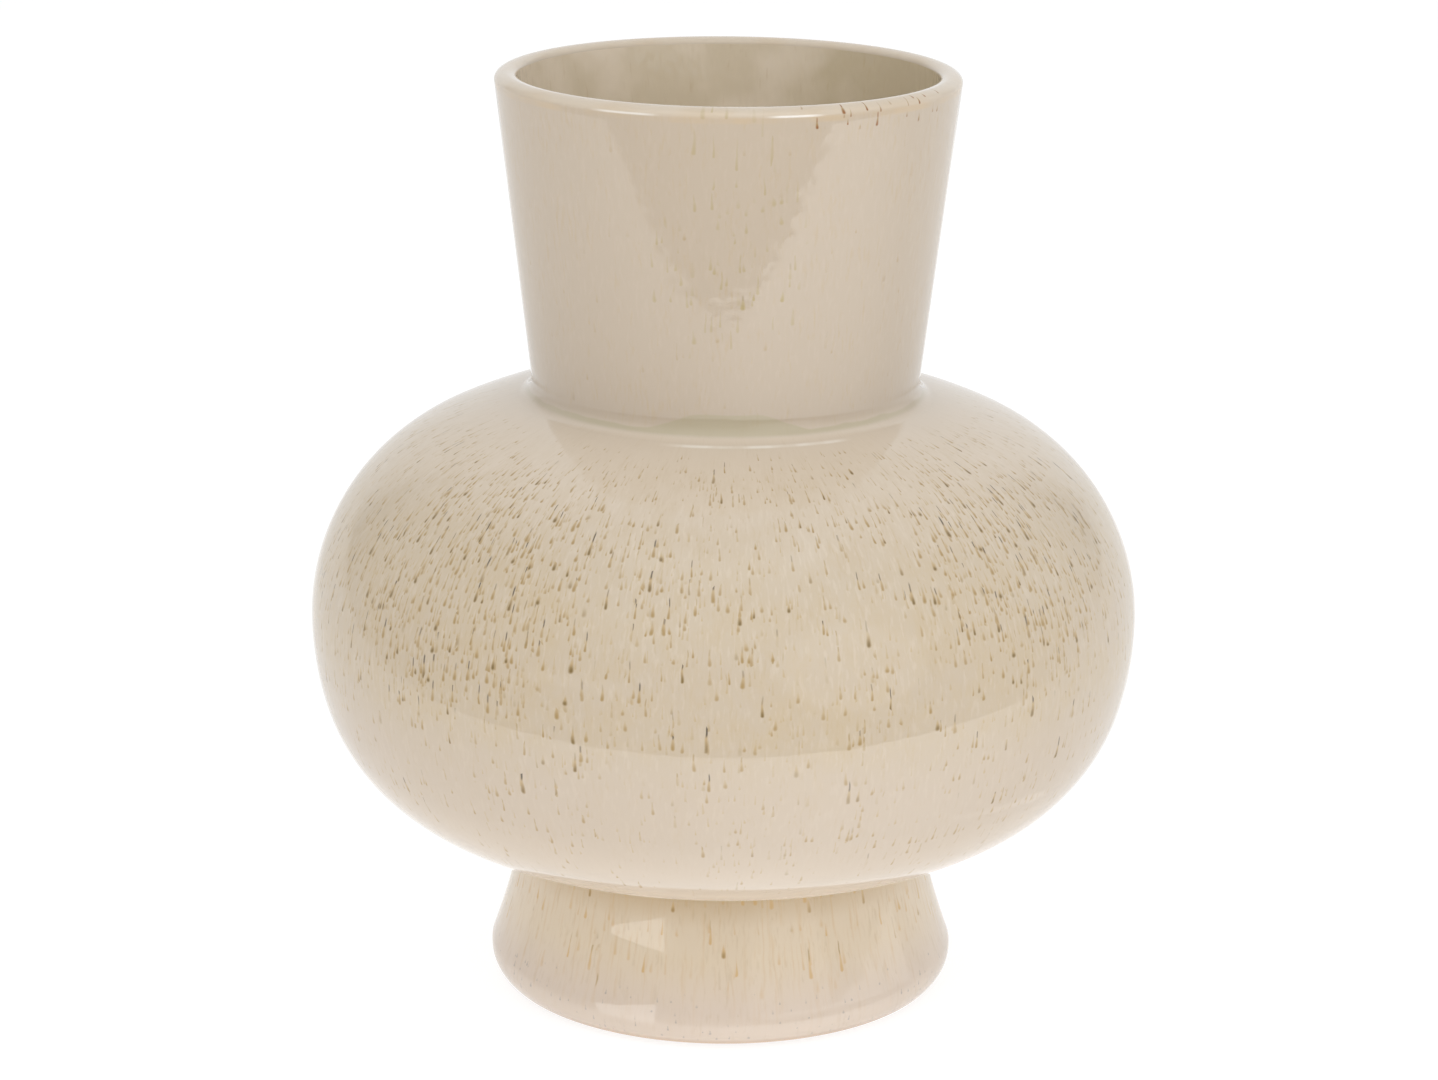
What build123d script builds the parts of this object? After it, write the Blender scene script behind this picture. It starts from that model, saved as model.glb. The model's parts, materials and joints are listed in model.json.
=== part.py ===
from build123d import *
from math import acos, asin, cos, degrees, radians, sin, sqrt, tan
import os

# Stoneware vase: a flared hollow foot, a round belly and a tapered neck.
# The foot, the two halves of the belly and the neck are thrown one by one and joined leather-hard
# with slip, then the pot is glazed outside, inside and under the foot.
# Millimetres and degrees, +Z up. The origin is at the middle of the foot, on the table.
# Every piece is a section turned about +Z, drawn as (radius, height).

# Outside of the finished pot, over the glaze
vase_height = 224.6
rim_radius = 54.9
neck_taper = 6.7             # lean of the neck's side, from upright
neck_cove = 4.5              # hollow curve in the crease under the neck
belly_radius = 100.0
upper_bend_radius = 51.4     # from the widest line up to the shoulder
upper_bend_angle = 65.6
shoulder_radius = 117.2
lower_bend_radius = 72.5     # from the widest line down
lower_bend_angle = 15.8
underside_radius = 45.3
foot_height = 40.3           # table to the flat of the belly's underside
foot_cove = 3.0
foot_radius = 57.1
toe_radius = 7.6
toe_angle = 19.7             # how far the toe's roll runs up above its middle
skirt_radius = 172.0         # hollow sweep of the foot's side

# Clay
neck_wall = 4.2
bowl_wall = 5.5
floor_extra = 1.5            # clay left on the floor, beyond the wall's thickness
floor_cove = 12.0
throat_round = 6.0           # inner edge where the shoulder turns up into the neck
foot_wall = 6.5
hollow_cove = 4.0
ring_width = 4.0             # flat of the foot ring, on the table
ring_round = 1.8

# Slip joints
slip_gap = 0.4               # slip between two pieces of clay
tongue_width = 2.6           # tongue on the lower bowl's rim
tongue_height = 2.0
tongue_lean = 75.0           # slope of its sides
neck_seat_depth = 2.5        # how deep the neck stands in the shoulder
foot_groove_depth = 1.4      # how deep the foot stands in the belly's underside

# Glaze
glaze_thickness = 0.6
liner_thickness = 0.6
base_glaze_thickness = 0.5
bare_height = 1.3            # glaze wiped back from the table, outside
base_bare_height = 5.0       # and inside the foot


def point_on(centre, radius, angle):
    """The point of a circle at an angle from the outward radius."""
    return (centre[0] + radius * cos(radians(angle)), centre[1] + radius * sin(radians(angle)))


# Middles of the arcs, shared by every coat and wall, which keeps them all parallel
belly_height = foot_height + underside_radius
belly_height += (lower_bend_radius - underside_radius) * sin(radians(lower_bend_angle))
upper_bend_centre = (belly_radius - upper_bend_radius, belly_height)
shoulder_centre = point_on(upper_bend_centre, upper_bend_radius - shoulder_radius, upper_bend_angle)
lower_bend_centre = (belly_radius - lower_bend_radius, belly_height)
underside_centre = point_on(lower_bend_centre, lower_bend_radius - underside_radius, -lower_bend_angle)
lip_radius = neck_wall / 2 + glaze_thickness
lip_centre = (rim_radius - lip_radius, vase_height - lip_radius)
toe_centre = (foot_radius - toe_radius, toe_radius - glaze_thickness)
skirt_centre = point_on(toe_centre, toe_radius + skirt_radius, toe_angle)

clay_underside = foot_height + glaze_thickness
foot_top = clay_underside + foot_groove_depth - slip_gap
floor_height = clay_underside + bowl_wall + floor_extra
clay_wall_middle = belly_radius - glaze_thickness - bowl_wall / 2


def neck_side(wall_offset, height):
    """Radius of a line parallel to the neck's side, offset from the middle of its wall."""
    top = point_on(lip_centre, wall_offset, -neck_taper)
    return top[0] - (top[1] - height) * tan(radians(neck_taper))


def neck_meets_shoulder(wall_offset, depth):
    """Where a line of the neck's side reaches the shoulder's arc, at a depth under the glaze."""
    slope = tan(radians(neck_taper))
    radius = shoulder_radius - depth
    reach = neck_side(wall_offset, shoulder_centre[1]) - shoulder_centre[0]
    rise = (sqrt(radius**2 * (1 + slope**2) - reach**2) - reach * slope) / (1 + slope**2)
    height = shoulder_centre[1] + rise
    return (neck_side(wall_offset, height), height)


def skirt_angle(depth, height):
    """Angle about the skirt's centre at which its arc stands at a height."""
    return 180 - degrees(asin((height - skirt_centre[1]) / (skirt_radius + depth)))


def skirt_side(depth, height):
    """Outer radius of the foot at a height."""
    return point_on(skirt_centre, skirt_radius + depth, skirt_angle(depth, height))[0]


waist_radius = skirt_side(glaze_thickness, clay_underside)
hollow_top_radius = waist_radius - foot_wall
hollow_mouth_radius = toe_centre[0] - ring_width
hollow_slope = (hollow_mouth_radius - hollow_top_radius) / clay_underside
neck_seat = neck_meets_shoulder(lip_radius - glaze_thickness, glaze_thickness)[1] - neck_seat_depth


def belly_arcs(depth, low_angle, high_angle):
    """The belly's four tangent arcs, from the underside round to the shoulder."""
    CenterArc(underside_centre, underside_radius - depth, low_angle, -lower_bend_angle - low_angle)
    CenterArc(lower_bend_centre, lower_bend_radius - depth, -lower_bend_angle, lower_bend_angle)
    CenterArc(upper_bend_centre, upper_bend_radius - depth, 0, upper_bend_angle)
    CenterArc(shoulder_centre, shoulder_radius - depth, upper_bend_angle, high_angle - upper_bend_angle)


def belly_form(depth, bottom):
    """Half-section of the belly at a depth under the glaze, closed to the axis and cut flat below."""
    low_angle = degrees(asin((bottom - underside_centre[1]) / (underside_radius - depth)))
    high_angle = degrees(acos((rim_radius / 2 - shoulder_centre[0]) / (shoulder_radius - depth)))
    start = point_on(underside_centre, underside_radius - depth, low_angle)
    end = point_on(shoulder_centre, shoulder_radius - depth, high_angle)
    with BuildSketch(mode=Mode.PRIVATE) as form:
        with BuildLine():
            belly_arcs(depth, low_angle, high_angle)
            Polyline(end, (0, end[1]), (0, start[1]), start)
        make_face()
    return form.sketch


def neck_form(depth, bottom):
    """Half-section of the neck at a depth under the glaze, filled to the axis, with its rolled lip."""
    radius = lip_radius - depth
    foot_of_side = (neck_side(radius, bottom), bottom)
    side_top = point_on(lip_centre, radius, -neck_taper)
    inner_edge = point_on(lip_centre, radius, 180 - neck_taper)
    cap_height = lip_centre[1] + lip_centre[0] * tan(radians(neck_taper))
    with BuildSketch(mode=Mode.PRIVATE) as form:
        with BuildLine():
            Polyline((0, bottom), foot_of_side, side_top)
            CenterArc(lip_centre, radius, -neck_taper, 180)
            Polyline(inner_edge, (0, cap_height), (0, bottom))
        make_face()
    return form.sketch


def foot_form(depth):
    """Half-section of the foot at a depth under the glaze, filled to the axis."""
    toe_bottom = point_on(toe_centre, toe_radius - depth, -90)
    top_angle = skirt_angle(depth, foot_top)
    top = point_on(skirt_centre, skirt_radius + depth, top_angle)
    with BuildSketch(mode=Mode.PRIVATE) as form:
        with BuildLine():
            CenterArc(toe_centre, toe_radius - depth, -90, 90 + toe_angle)
            CenterArc(skirt_centre, skirt_radius + depth, 180 + toe_angle, top_angle - 180 - toe_angle)
            Polyline(top, (0, foot_top), (0, toe_bottom[1]), toe_bottom)
        make_face()
    return form.sketch


def outside_form(depth, coved):
    """Half-section of the whole pot at a depth under the glaze, filled to the axis."""
    neck_crease = neck_meets_shoulder(lip_radius - depth, depth)
    foot_crease = (skirt_side(depth, foot_height + depth), foot_height + depth)
    with BuildSketch(mode=Mode.PRIVATE) as form:
        add(foot_form(depth))
        add(belly_form(depth, foot_height + depth))
        add(neck_form(depth, neck_seat))
        if coved:
            fillet(form.vertices().sort_by_distance(neck_crease)[0], neck_cove + depth)
            fillet(form.vertices().sort_by_distance(foot_crease)[0], foot_cove + depth)
    return form.sketch


def inside_form(coat):
    """Half-section of the space inside the pot, less a coat of glaze on the clay."""
    depth = glaze_thickness + bowl_wall + coat
    side = -neck_wall / 2 - coat
    floor = floor_height + coat
    throat = neck_meets_shoulder(side, depth)
    mouth = point_on(lip_centre, side, -neck_taper)
    cap_height = lip_centre[1] + lip_centre[0] * tan(radians(neck_taper))
    floor_angle = asin((floor - underside_centre[1]) / (underside_radius - depth))
    floor_edge = point_on(underside_centre, underside_radius - depth, degrees(floor_angle))
    with BuildSketch(mode=Mode.PRIVATE) as form:
        add(belly_form(depth, floor))
        with BuildLine():
            Polyline((0, floor), (neck_side(side, floor), floor), mouth, (0, cap_height), close=True)
        make_face()
        fillet(form.vertices().sort_by_distance(throat)[0], throat_round + coat)
        fillet(form.vertices().sort_by_distance(floor_edge)[0], floor_cove - coat)
    return form.sketch


def hollow_form(coat, top, coved):
    """Half-section of the hollow in the foot, less a coat of glaze, from below the table to a top."""
    inset = coat * sqrt(1 + hollow_slope**2)
    mouth = hollow_mouth_radius + hollow_slope * foot_height - inset
    edge = (mouth - hollow_slope * (foot_height + top), top)
    with BuildSketch(mode=Mode.PRIVATE) as form:
        with BuildLine():
            Polyline((0, -foot_height), (mouth, -foot_height), edge, (0, top), close=True)
        make_face()
        if coved:
            fillet(form.vertices().sort_by_distance(edge)[0], hollow_cove - coat)
    return form.sketch


def band(low, high):
    """Half-section of all space between two heights."""
    with BuildSketch(mode=Mode.PRIVATE) as space:
        with Locations((belly_radius, (low + high) / 2)):
            Rectangle(2 * belly_radius, high - low)
    return space.sketch


# Sections that the pieces share: what each male piece fills, and the slip round it
with BuildSketch() as foot_section:
    add(foot_form(glaze_thickness))
    add(hollow_form(0, 2 * foot_top, False), mode=Mode.SUBTRACT)
with BuildSketch() as rim_below:
    add(band(-vase_height, belly_height))
    with Locations((clay_wall_middle, belly_height)):
        Trapezoid(tongue_width, tongue_height, tongue_lean, align=(Align.CENTER, Align.MIN))
with BuildSketch() as neck_section:
    add(neck_form(glaze_thickness, neck_seat))
foot_socket = offset(foot_section.sketch, amount=slip_gap, kind=Kind.INTERSECTION)
rim_socket = offset(rim_below.sketch, amount=slip_gap, kind=Kind.INTERSECTION)
neck_socket = offset(neck_section.sketch, amount=slip_gap, kind=Kind.INTERSECTION)

# Clay before and after the creases are coved with slip
with BuildSketch() as plain_clay:
    add(outside_form(glaze_thickness, False))
    add(inside_form(0), mode=Mode.SUBTRACT)
    add(hollow_form(0, clay_underside, False), mode=Mode.SUBTRACT)
with BuildSketch() as joined_clay:
    add(outside_form(glaze_thickness, True))
    add(inside_form(0), mode=Mode.SUBTRACT)
    add(hollow_form(0, clay_underside, True), mode=Mode.SUBTRACT)

os.makedirs("parts", exist_ok=True)

# Foot: flared and hollow, with a rounded toe. It stands in a groove under the belly.
with BuildPart() as foot:
    with BuildSketch(Plane.XZ) as foot_profile:
        add(foot_section.sketch)
        inner_edge = foot_profile.vertices().sort_by_distance((hollow_mouth_radius, 0))[0]
        fillet(inner_edge, ring_round)
    revolve(axis=Axis.Z)
foot.part.label = "foot"
export_step(foot.part, "parts/foot.step")

# Lower bowl: the belly's floor and lower half, with a tongue round its rim
with BuildPart() as lower_bowl:
    with BuildSketch(Plane.XZ):
        add(plain_clay.sketch)
        add(rim_below.sketch, mode=Mode.INTERSECT)
        add(foot_socket, mode=Mode.SUBTRACT)
    revolve(axis=Axis.Z)
lower_bowl.part.label = "lower_bowl"
export_step(lower_bowl.part, "parts/lower_bowl.step")

# Shoulder bowl: the belly's upper half, grooved over the tongue and rebated for the neck
with BuildPart() as shoulder_bowl:
    with BuildSketch(Plane.XZ):
        add(plain_clay.sketch)
        add(rim_socket, mode=Mode.SUBTRACT)
        add(neck_socket, mode=Mode.SUBTRACT)
    revolve(axis=Axis.Z)
shoulder_bowl.part.label = "shoulder_bowl"
export_step(shoulder_bowl.part, "parts/shoulder_bowl.step")

# Neck: a collar that widens to a rolled lip
with BuildPart() as neck:
    with BuildSketch(Plane.XZ):
        add(plain_clay.sketch)
        add(neck_section.sketch, mode=Mode.INTERSECT)
    revolve(axis=Axis.Z)
neck.part.label = "neck"
export_step(neck.part, "parts/neck.step")

# Slip under the belly: it fills the foot's groove and coves the crease on both sides
with BuildPart() as foot_slip:
    with BuildSketch(Plane.XZ):
        add(joined_clay.sketch)
        add(band(foot_height / 2, belly_height - bowl_wall), mode=Mode.INTERSECT)
        add(foot_section.sketch, mode=Mode.SUBTRACT)
        add(plain_clay.sketch - foot_socket, mode=Mode.SUBTRACT)
    revolve(axis=Axis.Z)
foot_slip.part.label = "foot_slip"
export_step(foot_slip.part, "parts/foot_slip.step")

# Slip between the bowls, round the tongue
with BuildPart() as belly_slip:
    with BuildSketch(Plane.XZ):
        add(plain_clay.sketch)
        add(rim_socket, mode=Mode.INTERSECT)
        add(rim_below.sketch, mode=Mode.SUBTRACT)
    revolve(axis=Axis.Z)
belly_slip.part.label = "belly_slip"
export_step(belly_slip.part, "parts/belly_slip.step")

# Slip round the neck's seat, with the cove in the crease outside
with BuildPart() as neck_slip:
    with BuildSketch(Plane.XZ):
        add(joined_clay.sketch)
        add(band(belly_height + bowl_wall, vase_height), mode=Mode.INTERSECT)
        add(neck_section.sketch, mode=Mode.SUBTRACT)
        add(plain_clay.sketch - neck_socket, mode=Mode.SUBTRACT)
    revolve(axis=Axis.Z)
neck_slip.part.label = "neck_slip"
export_step(neck_slip.part, "parts/neck_slip.step")

# Outer glaze: one coat from just above the table over the lip to its inner edge
with BuildPart() as outer_glaze:
    with BuildSketch(Plane.XZ):
        add(outside_form(0, True))
        add(outside_form(glaze_thickness, True), mode=Mode.SUBTRACT)
        add(band(-vase_height, bare_height), mode=Mode.SUBTRACT)
    revolve(axis=Axis.Z)
outer_glaze.part.label = "outer_glaze"
export_step(outer_glaze.part, "parts/outer_glaze.step")

# Liner glaze: floor, wall and neck inside, up to the outer glaze
with BuildPart() as liner_glaze:
    with BuildSketch(Plane.XZ):
        add(inside_form(0))
        add(inside_form(liner_thickness), mode=Mode.SUBTRACT)
    revolve(axis=Axis.Z)
liner_glaze.part.label = "liner_glaze"
export_step(liner_glaze.part, "parts/liner_glaze.step")

# Base glaze: a coat in the foot's hollow, which stops short of the bare foot ring
with BuildPart() as base_glaze:
    with BuildSketch(Plane.XZ):
        add(hollow_form(0, clay_underside, True))
        add(hollow_form(base_glaze_thickness, clay_underside - base_glaze_thickness, True), mode=Mode.SUBTRACT)
        add(band(-vase_height, base_bare_height), mode=Mode.SUBTRACT)
    revolve(axis=Axis.Z)
base_glaze.part.label = "base_glaze"
export_step(base_glaze.part, "parts/base_glaze.step")
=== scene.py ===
import json
import math

import bpy
from mathutils import Euler, Matrix, Vector


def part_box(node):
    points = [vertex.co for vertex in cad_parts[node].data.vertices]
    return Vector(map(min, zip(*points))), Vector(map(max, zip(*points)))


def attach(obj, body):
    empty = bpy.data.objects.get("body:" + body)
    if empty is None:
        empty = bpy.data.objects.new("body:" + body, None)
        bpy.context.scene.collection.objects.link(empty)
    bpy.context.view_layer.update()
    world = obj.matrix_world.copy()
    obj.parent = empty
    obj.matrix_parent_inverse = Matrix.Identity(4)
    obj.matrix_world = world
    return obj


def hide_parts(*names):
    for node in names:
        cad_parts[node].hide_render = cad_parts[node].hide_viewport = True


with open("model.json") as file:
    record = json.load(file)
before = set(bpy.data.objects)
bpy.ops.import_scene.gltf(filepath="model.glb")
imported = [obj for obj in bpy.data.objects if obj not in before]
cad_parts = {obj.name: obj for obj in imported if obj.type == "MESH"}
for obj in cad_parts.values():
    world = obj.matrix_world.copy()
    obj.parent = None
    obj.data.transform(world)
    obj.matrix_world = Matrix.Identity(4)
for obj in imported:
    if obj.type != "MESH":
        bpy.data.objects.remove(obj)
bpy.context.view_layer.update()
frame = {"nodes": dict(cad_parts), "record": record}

# Sizes of the pot in metres, over the glaze. Angles are in degrees.
VASE_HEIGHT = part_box("outer_glaze")[1].z
BELLY_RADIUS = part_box("outer_glaze")[1].x
RIM_RADIUS = 0.0549
NECK_TAPER = 6.7
NECK_COVE = 0.0045
UPPER_BEND_RADIUS = 0.0514
UPPER_BEND_ANGLE = 65.6
SHOULDER_RADIUS = 0.1172
LOWER_BEND_RADIUS = 0.0725
LOWER_BEND_ANGLE = 15.8
UNDERSIDE_RADIUS = 0.0453
FOOT_HEIGHT = 0.0403
FOOT_COVE = 0.003
FOOT_RADIUS = 0.0571
TOE_RADIUS = 0.0076
TOE_ANGLE = 19.7
SKIRT_RADIUS = 0.172
NECK_WALL = 0.0042
BOWL_WALL = 0.0055
FLOOR_EXTRA = 0.0015
FLOOR_COVE = 0.012
THROAT_ROUND = 0.006
FOOT_WALL = 0.0065
HOLLOW_COVE = 0.004
RING_WIDTH = 0.004
RING_ROUND = 0.0018
LIP_HEIGHT = 0.0018
LIP_CLEARANCE = 0.00003
GLAZE = 0.0006
LINER = 0.0006
BASE_GLAZE = 0.0005
BARE_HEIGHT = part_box("outer_glaze")[0].z
BASE_BARE_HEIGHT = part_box("base_glaze")[0].z

# Where the neck and the foot meet the belly, and the radius at which each of them is unrolled
CREASE_HEIGHT = 0.1477
FOOT_TOP = 0.0405
NECK_GIRTH = 0.050
FOOT_GIRTH = 0.054

# How finely a wall is turned: facets round the pot, spacings of an outline's points, the distance within
# which points are one, the angles of the points of a bead, and the angle past which an edge is sharp
FACETS_ROUND = 288
FINE = 0.0018
COARSE = 0.009
ROUND_SPACING = 0.0004
SAME_PLACE = 1e-6
BEAD_ANGLES = (30, 60, 90, 120, 150)
SHARP_ANGLE = 45.0

# How far a thrown wall wavers, how long its waves are, and how it calms by its ends and on the neck
WALL_WOBBLE = 0.00012
WOBBLE_SIZE = 0.028
STILL_EDGE = 0.006
CALM_SPAN = 0.012
NECK_WAVER = 0.02


def point_on(centre, radius, angle):
    """The point of a circle at an angle from the outward radius."""
    turn = math.radians(angle)
    return (centre[0] + radius * math.cos(turn), centre[1] + radius * math.sin(turn))


def angle_to(centre, point):
    """Angle at which a point lies about a centre."""
    return math.degrees(math.atan2(point[1] - centre[1], point[0] - centre[0]))


# Middles of the arcs, as (radius, height)
belly_height = FOOT_HEIGHT + UNDERSIDE_RADIUS
belly_height += (LOWER_BEND_RADIUS - UNDERSIDE_RADIUS) * math.sin(math.radians(LOWER_BEND_ANGLE))
upper_bend_centre = (BELLY_RADIUS - UPPER_BEND_RADIUS, belly_height)
shoulder_centre = point_on(upper_bend_centre, UPPER_BEND_RADIUS - SHOULDER_RADIUS, UPPER_BEND_ANGLE)
lower_bend_centre = (BELLY_RADIUS - LOWER_BEND_RADIUS, belly_height)
underside_centre = point_on(lower_bend_centre, LOWER_BEND_RADIUS - UNDERSIDE_RADIUS, -LOWER_BEND_ANGLE)
lip_radius = NECK_WALL / 2 + GLAZE
lip_round = (RIM_RADIUS - lip_radius, VASE_HEIGHT - lip_radius)
lip_centre = point_on(lip_round, lip_radius - LIP_HEIGHT - LIP_CLEARANCE, 90 - NECK_TAPER)
toe_centre = (FOOT_RADIUS - TOE_RADIUS, TOE_RADIUS - GLAZE)
skirt_centre = point_on(toe_centre, TOE_RADIUS + SKIRT_RADIUS, TOE_ANGLE)
clay_underside = FOOT_HEIGHT + GLAZE
floor_height = clay_underside + BOWL_WALL + FLOOR_EXTRA


def neck_side(wall_offset, height):
    """Radius of a line parallel to the neck's side, offset from the middle of its wall."""
    top = point_on(lip_centre, wall_offset, -NECK_TAPER)
    return top[0] - (top[1] - height) * math.tan(math.radians(NECK_TAPER))


def neck_meets_shoulder(wall_offset, depth):
    """Where a line of the neck's side reaches the shoulder's arc, at a depth under the glaze."""
    slope = math.tan(math.radians(NECK_TAPER))
    radius = SHOULDER_RADIUS - depth
    reach = neck_side(wall_offset, shoulder_centre[1]) - shoulder_centre[0]
    rise = (math.sqrt(radius**2 * (1 + slope**2) - reach**2) - reach * slope) / (1 + slope**2)
    height = shoulder_centre[1] + rise
    return (neck_side(wall_offset, height), height)


def skirt_angle(depth, height):
    """Angle about the skirt's centre at which its arc stands at a height."""
    return 180 - math.degrees(math.asin((height - skirt_centre[1]) / (SKIRT_RADIUS + depth)))


def arc(centre, radius, start, end, spacing):
    """Points along an arc, both ends included."""
    steps = max(3, math.ceil(abs(math.radians(end - start)) * radius / spacing))
    return [point_on(centre, radius, start + (end - start) * i / steps) for i in range(steps + 1)]


def line(start, end, spacing):
    """Points along a straight run, both ends included."""
    steps = max(1, math.ceil(math.dist(start, end) / spacing))
    return [tuple(a + (b - a) * i / steps for a, b in zip(start, end)) for i in range(steps + 1)]


def without_repeats(points):
    """The same path with no point twice in a row."""
    kept = [points[0]]
    for point in points[1:]:
        if math.dist(point, kept[-1]) > SAME_PLACE:
            kept.append(point)
    return kept


def lip_path(depth, spacing):
    """The flattened round of the lip, from its inner edge over the top to its outer edge."""
    steps = math.ceil(math.pi * lip_radius / spacing)
    points = []
    for i in range(steps + 1):
        turn = math.pi * (1 - i / steps)
        across = point_on(lip_centre, (lip_radius - depth) * math.cos(turn), -NECK_TAPER)
        points.append(point_on(across, (LIP_HEIGHT - depth) * math.sin(turn), 90 - NECK_TAPER))
    return points


def belly_path(depth, top, bottom, spacing):
    """The belly's four arcs under a depth, from an angle on the shoulder to one on the underside."""
    path = arc(shoulder_centre, SHOULDER_RADIUS - depth, top, UPPER_BEND_ANGLE, spacing)
    path += arc(upper_bend_centre, UPPER_BEND_RADIUS - depth, UPPER_BEND_ANGLE, 0, spacing)
    path += arc(lower_bend_centre, LOWER_BEND_RADIUS - depth, 0, -LOWER_BEND_ANGLE, spacing)
    return path + arc(underside_centre, UNDERSIDE_RADIUS - depth, -LOWER_BEND_ANGLE, bottom, spacing)


def outside_path(depth, spacing):
    """The outer wall from the lip's inner edge over the rim and down to the toe, under a depth of glaze."""
    small = min(spacing, ROUND_SPACING)
    cove = NECK_COVE + depth
    cove_centre = neck_meets_shoulder(lip_radius + NECK_COVE, -NECK_COVE)
    shoulder_top = angle_to(shoulder_centre, cove_centre)
    foot_cove = FOOT_COVE + depth
    cove_height = FOOT_HEIGHT - FOOT_COVE
    reach = math.sqrt((SKIRT_RADIUS - FOOT_COVE) ** 2 - (skirt_centre[1] - cove_height) ** 2)
    foot_cove_centre = (skirt_centre[0] - reach, cove_height)
    skirt_top = angle_to(skirt_centre, foot_cove_centre) % 360
    glaze_end = math.degrees(math.asin((BARE_HEIGHT - toe_centre[1]) / TOE_RADIUS))
    underside = point_on(underside_centre, UNDERSIDE_RADIUS - depth, -90)
    path = lip_path(depth, small)
    path += line(path[-1], point_on(cove_centre, cove, 180 - NECK_TAPER), spacing)
    path += arc(cove_centre, cove, 180 - NECK_TAPER, shoulder_top + 180, small)
    path += belly_path(depth, shoulder_top, -90, spacing)
    path += line(underside, point_on(foot_cove_centre, foot_cove, 90), spacing)
    path += arc(foot_cove_centre, foot_cove, 90, skirt_top, small)
    path += arc(skirt_centre, SKIRT_RADIUS + depth, skirt_top, 180 + TOE_ANGLE, spacing)
    path += arc(toe_centre, TOE_RADIUS - depth, TOE_ANGLE, glaze_end, small)
    return without_repeats(path)


def inside_path(coat, spacing):
    """The inner wall from the lip's inner edge down to the middle of the floor, over a coat of glaze."""
    depth = GLAZE + BOWL_WALL + coat
    side = -NECK_WALL / 2 - coat
    throat_centre = neck_meets_shoulder(-NECK_WALL / 2 + THROAT_ROUND, GLAZE + BOWL_WALL - THROAT_ROUND)
    throat = THROAT_ROUND + coat
    shoulder_top = angle_to(shoulder_centre, throat_centre)
    floor_cove = FLOOR_COVE - coat
    cove_height = floor_height + FLOOR_COVE
    cove_reach = UNDERSIDE_RADIUS - GLAZE - BOWL_WALL - FLOOR_COVE
    reach = math.sqrt(cove_reach**2 - (underside_centre[1] - cove_height) ** 2)
    cove_centre = (underside_centre[0] + reach, cove_height)
    cove_start = angle_to(underside_centre, cove_centre)
    mouth = point_on(lip_centre, side, -NECK_TAPER)
    path = line(mouth, point_on(throat_centre, throat, 180 - NECK_TAPER), spacing)
    path += arc(throat_centre, throat, 180 - NECK_TAPER, shoulder_top + 180, spacing / 2)
    path += belly_path(depth, shoulder_top, cove_start, spacing)
    path += arc(cove_centre, floor_cove, cove_start, -90, spacing / 2)
    path += line(point_on(cove_centre, floor_cove, -90), (0.0, floor_height + coat), spacing)
    return without_repeats(path)


def hollow_line():
    """Top radius, mouth radius and slope of the foot's inner wall."""
    waist = point_on(skirt_centre, SKIRT_RADIUS + GLAZE, skirt_angle(GLAZE, clay_underside))[0]
    top = waist - FOOT_WALL
    mouth = toe_centre[0] - RING_WIDTH
    return top, mouth, (mouth - top) / clay_underside


def hollow_path(coat, spacing):
    """The hollow of the foot from just above its ring up to the middle of the underside."""
    mouth, slope = hollow_line()[1:]
    lean = math.degrees(math.atan(slope))
    inset = coat / math.cos(math.radians(lean))
    ceiling = clay_underside - coat
    cove_height = clay_underside - HOLLOW_COVE
    cove_centre = (mouth - slope * cove_height - HOLLOW_COVE / math.cos(math.radians(lean)), cove_height)
    path = line(
        (mouth - slope * BASE_BARE_HEIGHT - inset, BASE_BARE_HEIGHT),
        point_on(cove_centre, HOLLOW_COVE - coat, lean),
        spacing,
    )
    path += arc(cove_centre, HOLLOW_COVE - coat, lean, 90, spacing / 2)
    path += line((cove_centre[0], ceiling), (0.0, ceiling), spacing)
    return without_repeats(path)


def foot_path(spacing):
    """The clay of the foot all round: skirt, toe, flat ring, inner wall and top."""
    top, mouth, slope = hollow_line()
    foot_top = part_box("foot")[1].z
    ring_centre = (mouth + RING_ROUND - slope * RING_ROUND, RING_ROUND)
    path = arc(
        skirt_centre, SKIRT_RADIUS + GLAZE, skirt_angle(GLAZE, foot_top), 180 + TOE_ANGLE, spacing
    )
    path += arc(toe_centre, TOE_RADIUS - GLAZE, TOE_ANGLE, -90, spacing / 4)
    path += line((toe_centre[0], 0.0), (ring_centre[0], 0.0), spacing / 2)
    path += arc(ring_centre, RING_ROUND, -90, -180, spacing / 8)
    path += line(path[-1], (top - slope * (foot_top - clay_underside), foot_top), spacing)
    path.append(path[0])
    return without_repeats(path)


def glaze_bead(path, back):
    """The rounded edge where a coat of glaze stops, between its face and its back."""
    face_end, back_end = Vector(path[-1]), Vector(back[-1])
    middle = (face_end + back_end) / 2
    out = (face_end - back_end) / 2
    onward = (face_end - Vector(path[-2])).normalized() * out.length
    turns = [math.radians(angle) for angle in BEAD_ANGLES]
    return [tuple(middle + out * math.cos(turn) + onward * math.sin(turn)) for turn in turns]


def calm_neck(height):
    """How freely the wall wavers at a height: less on the neck, which is thrown straight."""
    rise = min(1.0, max(0.0, (height - CREASE_HEIGHT + CALM_SPAN / 2) / CALM_SPAN))
    return 1.0 - rise * (1.0 - NECK_WAVER)


def coat_outline(face, back, beaded):
    """Closed outline of a coat, from its back's start along its face, and how freely each point wavers."""
    end = glaze_bead(face, back) if beaded else []
    points = back[:1] + face + end + back[::-1]
    from_ends = [min(math.dist(point, face[0]), math.dist(point, face[-1])) for point in face]
    skin = [min(1.0, reach / STILL_EDGE) * calm_neck(point[1]) for reach, point in zip(from_ends, face)]
    return points, [0.0] + skin + [0.0] * (len(points) - len(face) - 1)


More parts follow.
